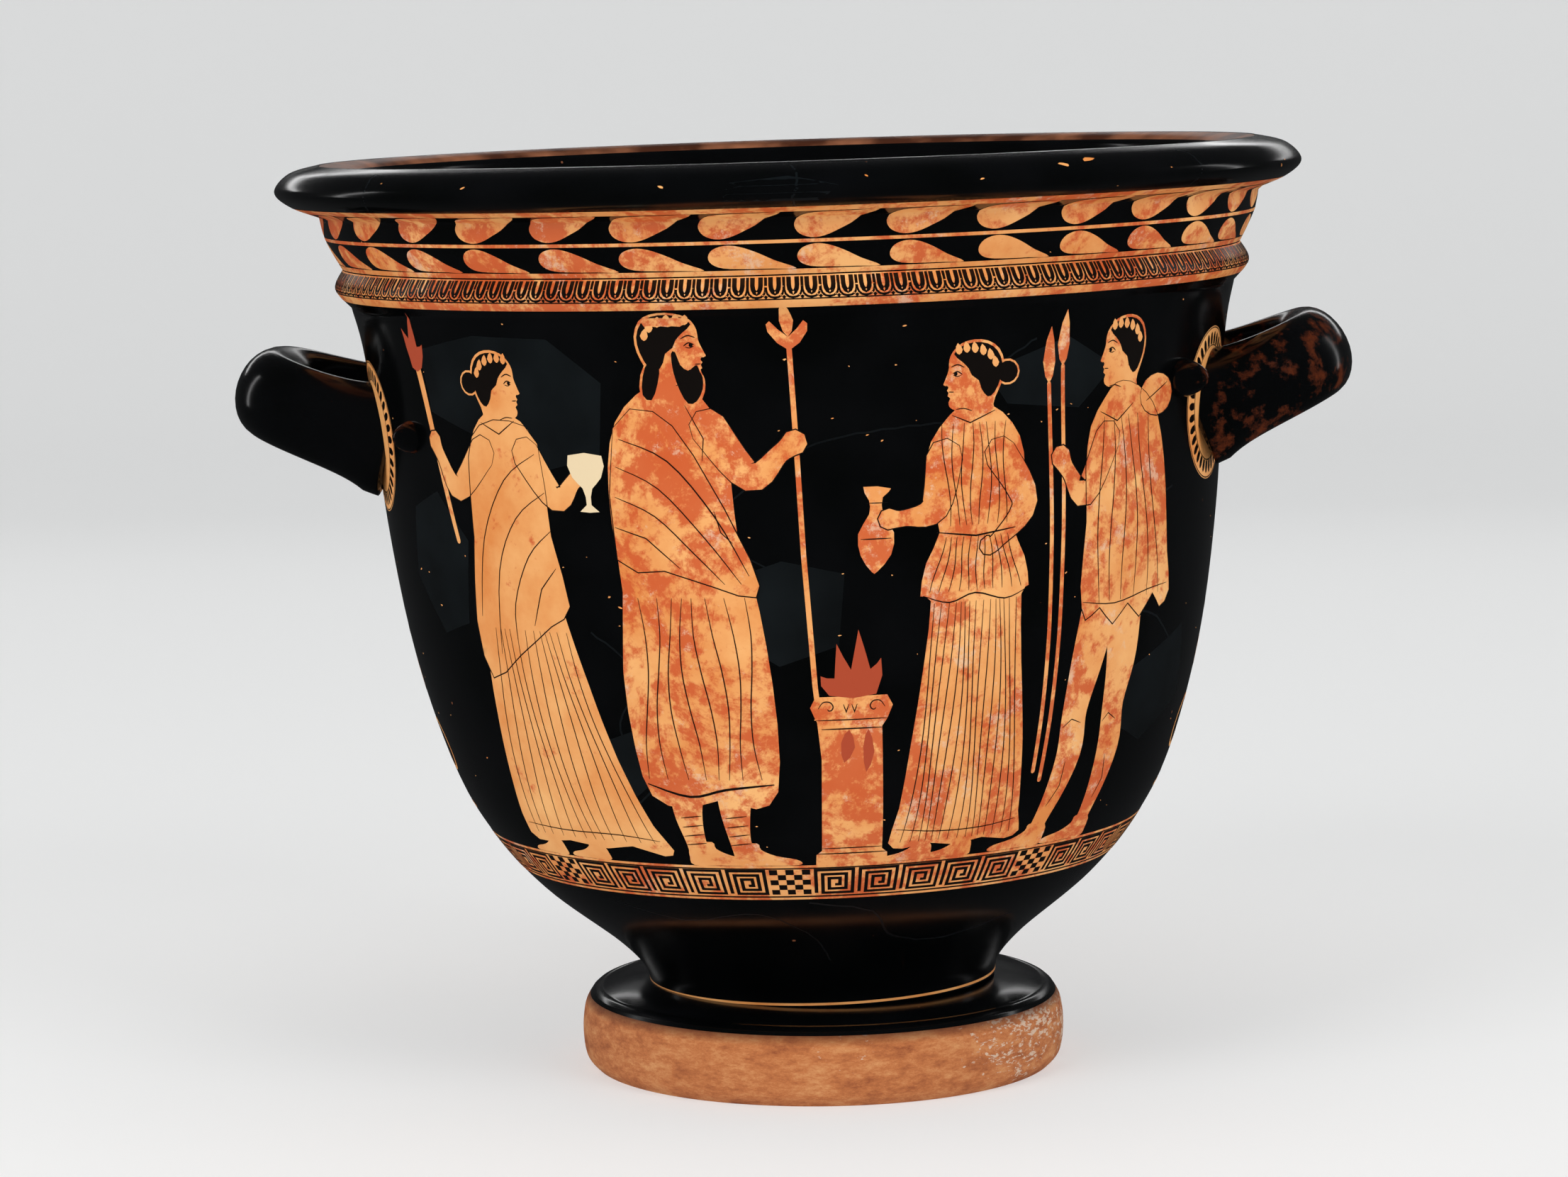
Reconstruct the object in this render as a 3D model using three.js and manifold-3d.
// Red-figure bell krater: a wide-mouthed wine-mixing vessel, thrown, luted and fired as one piece.
// Millimetres, +Z up, handles along X, painted front towards -Y.
import * as THREE from 'three';
import { mergeVertices } from 'three/addons/utils/BufferGeometryUtils.js';
import Module from 'manifold-3d';

// Turning steps around the axis.
const TURN_STEPS = 56;

// Foot: a disc with a rounded clay edge, level on the ground. OUT, IN and UP sizes are steps
// from the point before.
const FOOT_REST_RADIUS = 102.4;
const FOOT_LOW_OUT = 3.9;
const FOOT_LOW_UP = 5;
const FOOT_EDGE_OUT = 1.3;
const FOOT_EDGE_UP = 11;
const FOOT_HIGH_IN = 1.2;
const FOOT_HIGH_UP = 10.6;
const FOOT_TOP_IN = 3.2;
const FOOT_TOP_UP = 6;
const FOOT_STEP_IN = 4.6;
const FOOT_STEP_UP = 1.8;
const FOOT_CROWN_UP = 3.7;

// Hollow turned out under the foot.
const FOOT_RING_WIDTH = 14.4;
const HOLLOW_WALL = 15;
const HOLLOW_WAIST_HEIGHT = 34;
const HOLLOW_CROWN = 13;

// Stem between foot and bowl.
const STEM_RADIUS = 77.2;
const STEM_OUT = 2.4;
const STEM_UP = 8;

// The bowl slumped a little in the kiln: above the foot its rings tilt down towards -X, and each
// one also sits a little further that way, by this share of its height.
const TILT_DEGREES = 1.15;
const SLUMP = 0.0115;

// Bowl wall, bottom to top: steps outwards and upwards between the points that its curve passes.
const FLARE_OUT = 12.8;
const FLARE_UP = 13.9;
const BASIN_OUT = 30.6;
const BASIN_UP = 25;
const TURN_OUT = 21;
const TURN_UP = 25;
const BELLY_OUT = 15.5;
const BELLY_UP = 30;
const WAIST_OUT = 14.5;
const WAIST_UP = 50;
const WALL_OUT = 9.4;
const WALL_UP = 60;
const SHOULDER_OUT = 5.6;
const SHOULDER_UP = 68;

// Torus moulding below the neck.
const MOULDING_FOOT_OUT = 5.1;
const MOULDING_FOOT_UP = 26;
const MOULDING_OUT = 6.6;
const MOULDING_UP = 8.4;
const MOULDING_TOP_IN = 3.7;
const MOULDING_TOP_UP = 8.1;

// Concave neck above the moulding.
const NECK_OUT = 6.7;
const NECK_UP = 13;
const NECK_TOP_OUT = 2.4;
const NECK_TOP_UP = 10.5;

// Rounded overhanging lip, with the mouth inside it.
const LIP_UNDER_OUT = 13.1;
const LIP_UNDER_UP = 5.3;
const LIP_OUT = 5.8;
const LIP_UP = 6.3;
const LIP_ROUND_IN = 6.5;
const LIP_ROUND_UP = 7.4;
const CREST_IN = 12.5;
const CREST_UP = 3.3;
const MOUTH_IN = 13;

// Thickness of the wall and of the floor of the bowl.
const WALL_THICKNESS = 8;
const FLOOR_THICKNESS = 11;

// Two loop handles, laid over a slanting plane that rises away from the wall.
const HANDLE_TURN_DEGREES = -4;
const HANDLE_HALF_SPREAD = 47;
const LEFT_REACH = 48.5;
const LEFT_DROP = 29.5;
const RIGHT_REACH = 43;
const RIGHT_DROP = 25;
const HANDLE_RISE = 18.5;
const HANDLE_THICKNESS = 27;
const HANDLE_DEPTH = 37.5;
const HANDLE_FLARE = 3.5;
const HANDLE_SADDLE = 9;
const HANDLE_BURIED = 20;
const HANDLE_STEPS = 18;
const HANDLE_SIDES = 14;

// Four small pegs beside the handle roots. The one at the left front is worn to a stub.
const PEG_TURN_DEGREES = -0.9;
const PEG_SPREAD_DEGREES = 29.3;
const PEG_DROP = 11;
const PEG_RADIUS = 8.6;
const PEG_LENGTH = 12.5;
const STUB_DROP = 26;
const STUB_RADIUS = 7;
const STUB_LENGTH = 8.5;
const PEG_SIDES = 12;

const SLIP_COLOUR = 0x0b0c0d;

const wasm = await Module();
wasm.setup();

function solidOf(geometry) {
  geometry.deleteAttribute('normal');
  geometry.deleteAttribute('uv');
  const welded = mergeVertices(geometry, 1e-4);
  const vertProperties = new Float32Array(welded.attributes.position.array);
  const triVerts = new Uint32Array(welded.index.array);
  return new wasm.Manifold(new wasm.Mesh({ numProp: 3, vertProperties, triVerts }));
}

// A closed outline of (radius, height) points, turned about the upright axis.
function turned(points) {
  const geometry = new THREE.LatheGeometry(points, TURN_STEPS);
  geometry.rotateX(Math.PI / 2);
  geometry.rotateZ(Math.PI / 2);
  return geometry;
}

// The next point of an outline, a step out and up from the one before it.
function step(from, out, up) {
  return new THREE.Vector2(from.x + out, from.y + up);
}

function curveThrough(points, steps) {
  return new THREE.SplineCurve(points).getPoints(steps);
}

// Points of the outer outline, from the ground to the crest of the lip.
const footRest = new THREE.Vector2(FOOT_REST_RADIUS, 0);
const footLow = step(footRest, FOOT_LOW_OUT, FOOT_LOW_UP);
const footEdge = step(footLow, FOOT_EDGE_OUT, FOOT_EDGE_UP);
const footHigh = step(footEdge, -FOOT_HIGH_IN, FOOT_HIGH_UP);
const footTop = step(footHigh, -FOOT_TOP_IN, FOOT_TOP_UP);
const footStep = step(footTop, -FOOT_STEP_IN, FOOT_STEP_UP);
const stem = new THREE.Vector2(STEM_RADIUS, footStep.y + FOOT_CROWN_UP);
const stemTop = step(stem, STEM_OUT, STEM_UP);
const flare = step(stemTop, FLARE_OUT, FLARE_UP);
const basin = step(flare, BASIN_OUT, BASIN_UP);
const turn = step(basin, TURN_OUT, TURN_UP);
const belly = step(turn, BELLY_OUT, BELLY_UP);
const waist = step(belly, WAIST_OUT, WAIST_UP);
const upright = step(waist, WALL_OUT, WALL_UP);
const shoulder = step(upright, SHOULDER_OUT, SHOULDER_UP);
const mouldingFoot = step(shoulder, MOULDING_FOOT_OUT, MOULDING_FOOT_UP);
const mouldingPeak = step(mouldingFoot, MOULDING_OUT, MOULDING_UP);
const mouldingTop = step(mouldingPeak, -MOULDING_TOP_IN, MOULDING_TOP_UP);
const neckMiddle = step(mouldingTop, NECK_OUT, NECK_UP);
const neckTop = step(neckMiddle, NECK_TOP_OUT, NECK_TOP_UP);
const lipUnder = step(neckTop, LIP_UNDER_OUT, LIP_UNDER_UP);
const lipEdge = step(lipUnder, LIP_OUT, LIP_UP);
const lipRound = step(lipEdge, -LIP_ROUND_IN, LIP_ROUND_UP);
const crest = step(lipRound, -CREST_IN, CREST_UP);
const mouthEdge = step(crest, -MOUTH_IN, lipEdge.y - crest.y);

const lean = new THREE.Matrix4()
  .makeTranslation(0, 0, stem.y)
  .multiply(new THREE.Matrix4().makeRotationY(-THREE.MathUtils.degToRad(TILT_DEGREES)))
  .multiply(new THREE.Matrix4().set(1, 0, -SLUMP, 0, 0, 1, 0, 0, 0, 0, 1, 0, 0, 0, 0, 1))
  .multiply(new THREE.Matrix4().makeTranslation(0, 0, -stem.y));

const wallPoints = [stem, stemTop, flare, basin, turn, belly, waist, upright, shoulder, mouldingFoot];
const wall = curveThrough(wallPoints, 16);
const moulding = curveThrough([mouldingFoot, mouldingPeak, mouldingTop], 5);
const neck = curveThrough([mouldingTop, neckMiddle, neckTop], 5);
const lip = curveThrough([neckTop, lipUnder, lipEdge, lipRound, crest], 8);

// Radius of the wall at a height, along its straight pieces.
function wallRadiusAt(height) {
  const i = Math.max(1, wall.findIndex((point) => point.y >= height));
  const part = (height - wall[i - 1].y) / (wall[i].y - wall[i - 1].y);
  return wall[i - 1].x + (wall[i].x - wall[i - 1].x) * part;
}

const outside = [
  new THREE.Vector2(0, stem.y - 8),
  new THREE.Vector2(stem.x, stem.y - 8),
  ...wall,
  ...moulding.slice(1),
  ...neck.slice(1),
  ...lip.slice(1),
  new THREE.Vector2(0, crest.y),
];
const bowl = solidOf(turned(outside).applyMatrix4(lean));

// Inside of the bowl: the wall curve moved inwards by the wall thickness.
const inside = [];
wall.forEach((point, i) => {
  if (point.y < basin.y || i === wall.length - 1) {
    return;
  }
  const along = wall[i + 1].clone().sub(wall[i - 1]).normalize();
  inside.push(new THREE.Vector2(point.x - along.y * WALL_THICKNESS, point.y + along.x * WALL_THICKNESS));
});
const floorHeight = HOLLOW_WAIST_HEIGHT + HOLLOW_CROWN + FLOOR_THICKNESS;
const floorEdge = inside[0];
const floorCurve = new THREE.CubicBezierCurve(
  new THREE.Vector2(0, floorHeight),
  new THREE.Vector2(floorEdge.x * 0.4, floorHeight),
  new THREE.Vector2(floorEdge.x * 0.72, floorEdge.y - floorEdge.x * 0.24),
  floorEdge,
).getPoints(4);
const mouth = curveThrough([
  inside[inside.length - 1],
  step(mouldingTop, -WALL_THICKNESS, 0),
  mouthEdge,
  step(crest, -MOUTH_IN * 0.7, (mouthEdge.y - crest.y) * 0.24),
  crest,
], 6);
const room = [
  ...floorCurve,
  ...inside.slice(1),
  ...mouth.slice(1),
  step(crest, 0, 10),
  new THREE.Vector2(0, crest.y + 10),
];
const cavity = solidOf(turned(room).applyMatrix4(lean));

// Foot disc, level, with the stem of the bowl standing in it.
const foot = solidOf(turned([
  new THREE.Vector2(0, 0),
  ...curveThrough([footRest, footLow, footEdge, footHigh, footTop], 2),
  footStep,
  step(stem, -3, 0.6),
  new THREE.Vector2(0, stem.y + 0.6),
]));
const hollowMouth = step(footRest, -FOOT_RING_WIDTH, 0);
const hollowWaist = new THREE.Vector2(STEM_RADIUS - HOLLOW_WALL, HOLLOW_WAIST_HEIGHT);
const hollow = solidOf(turned([
  new THREE.Vector2(0, -10),
  step(hollowMouth, 0, -10),
  ...new THREE.CubicBezierCurve(
    hollowMouth,
    new THREE.Vector2(hollowMouth.x - 5, hollowWaist.y * 0.5),
    new THREE.Vector2(hollowWaist.x + 6, hollowWaist.y * 0.7),
    hollowWaist,
  ).getPoints(4),
  new THREE.Vector2(hollowWaist.x * 0.72, hollowWaist.y + HOLLOW_CROWN * 0.8),
  new THREE.Vector2(hollowWaist.x * 0.3, hollowWaist.y + HOLLOW_CROWN),
  new THREE.Vector2(0, hollowWaist.y + HOLLOW_CROWN),
]));

// Handle: an oval section carried round a horseshoe, wider where it is smeared onto the wall.
function handle(turnDegrees, reach, drop) {
  const rootHeight = shoulder.y - drop;
  const wallRadius = wallRadiusAt(rootHeight);
  const inner = wallRadius - HANDLE_BURIED;
  const slope = HANDLE_RISE / reach;
  const path = [];
  for (let i = 0; i <= HANDLE_STEPS; i += 1) {
    const a = Math.PI * i / HANDLE_STEPS;
    const side = Math.sign(Math.cos(a)) * Math.abs(Math.cos(a)) ** 0.7 * HANDLE_HALF_SPREAD;
    const out = inner + (reach + HANDLE_BURIED) * Math.sin(a) ** 0.85;
    path.push(new THREE.Vector3(out, side, rootHeight + (out - wallRadius) * slope));
  }
  const curve = new THREE.CatmullRomCurve3(path);
  const up = new THREE.Vector3(-slope, 0, 1).normalize();
  const positions = [];
  const rings = HANDLE_STEPS + 1;
  for (let i = 0; i < rings; i += 1) {
    const t = i / HANDLE_STEPS;
    const centre = curve.getPointAt(t);
    const across = new THREE.Vector3().crossVectors(curve.getTangentAt(t), up).normalize();
    const clear = centre.x - Math.sqrt(wallRadius ** 2 - centre.y ** 2);
    const flare = HANDLE_FLARE * Math.exp(-Math.max(clear, -1) / 9);
    const saddle = HANDLE_SADDLE * Math.exp(-Math.max(clear, -1) / 16);
    for (let j = 0; j < HANDLE_SIDES; j += 1) {
      const b = 2 * Math.PI * j / HANDLE_SIDES;
      const point = centre.clone();
      point.addScaledVector(across, Math.cos(b) * (HANDLE_THICKNESS / 2 + flare * 0.8));
      const spread = b > 0 && b < Math.PI ? saddle : flare;
      point.addScaledVector(up, Math.sin(b) * (HANDLE_DEPTH / 2 + spread));
      positions.push(point.x, point.y, point.z);
    }
  }
  const triangles = [];
  for (let i = 0; i < HANDLE_STEPS; i += 1) {
    for (let j = 0; j < HANDLE_SIDES; j += 1) {
      const a = i * HANDLE_SIDES + j;
      const b = i * HANDLE_SIDES + (j + 1) % HANDLE_SIDES;
      triangles.push(a, a + HANDLE_SIDES, b);
      triangles.push(b, a + HANDLE_SIDES, b + HANDLE_SIDES);
    }
  }
  for (let j = 1; j < HANDLE_SIDES - 1; j += 1) {
    const end = HANDLE_STEPS * HANDLE_SIDES;
    triangles.push(0, j, j + 1);
    triangles.push(end, end + j + 1, end + j);
  }
  const geometry = new THREE.BufferGeometry();
  geometry.setAttribute('position', new THREE.Float32BufferAttribute(positions, 3));
  geometry.setIndex(triangles);
  geometry.rotateZ(THREE.MathUtils.degToRad(turnDegrees));
  return solidOf(geometry.applyMatrix4(lean));
}

// Peg: a blunt clay cone pressed onto the wall, pointing straight out.
function peg(azimuthDegrees, drop, radius, length) {
  const height = shoulder.y - drop;
  const outline = [
    new THREE.Vector2(0, -6),
    new THREE.Vector2(radius, -6),
    new THREE.Vector2(radius, 0.5),
    new THREE.Vector2(radius * 0.86, length * 0.38),
    new THREE.Vector2(radius * 0.6, length * 0.72),
    new THREE.Vector2(radius * 0.3, length * 0.94),
    new THREE.Vector2(0, length),
  ];
  const geometry = new THREE.LatheGeometry(outline, PEG_SIDES);
  geometry.rotateZ(-Math.PI / 2);
  geometry.translate(wallRadiusAt(height), 0, height);
  geometry.rotateZ(THREE.MathUtils.degToRad(azimuthDegrees));
  return solidOf(geometry.applyMatrix4(lean));
}

let vessel = bowl.add(foot);
vessel = vessel.add(handle(HANDLE_TURN_DEGREES, RIGHT_REACH, RIGHT_DROP));
vessel = vessel.add(handle(180 + HANDLE_TURN_DEGREES, LEFT_REACH, LEFT_DROP));
for (const side of [0, 180]) {
  const back = side + PEG_TURN_DEGREES + PEG_SPREAD_DEGREES * (side === 0 ? 1 : -1);
  vessel = vessel.add(peg(back, PEG_DROP, PEG_RADIUS, PEG_LENGTH));
}
const rightFront = PEG_TURN_DEGREES - PEG_SPREAD_DEGREES;
const leftFront = 180 + PEG_TURN_DEGREES + PEG_SPREAD_DEGREES;
vessel = vessel.add(peg(rightFront, PEG_DROP, PEG_RADIUS, PEG_LENGTH));
vessel = vessel.add(peg(leftFront, STUB_DROP, STUB_RADIUS, STUB_LENGTH));
vessel = vessel.subtract(cavity).subtract(hollow);

const shape = vessel.getMesh();
const geometry = new THREE.BufferGeometry();
geometry.setAttribute('position', new THREE.Float32BufferAttribute(shape.vertProperties, 3));
geometry.setIndex(new THREE.Uint32BufferAttribute(shape.triVerts, 1));

// The frame's origin is the middle of the box, on the ground.
geometry.computeBoundingBox();
const box = geometry.boundingBox;
geometry.translate(-(box.min.x + box.max.x) / 2, -(box.min.y + box.max.y) / 2, -box.min.z);
geometry.computeVertexNormals();

const slip = new THREE.MeshStandardMaterial({ color: SLIP_COLOUR, roughness: 0.15, metalness: 0 });
const krater = new THREE.Mesh(geometry, slip);
krater.name = 'krater';

const group = new THREE.Group();
group.name = 'bell_krater';
group.add(krater);

export default group;
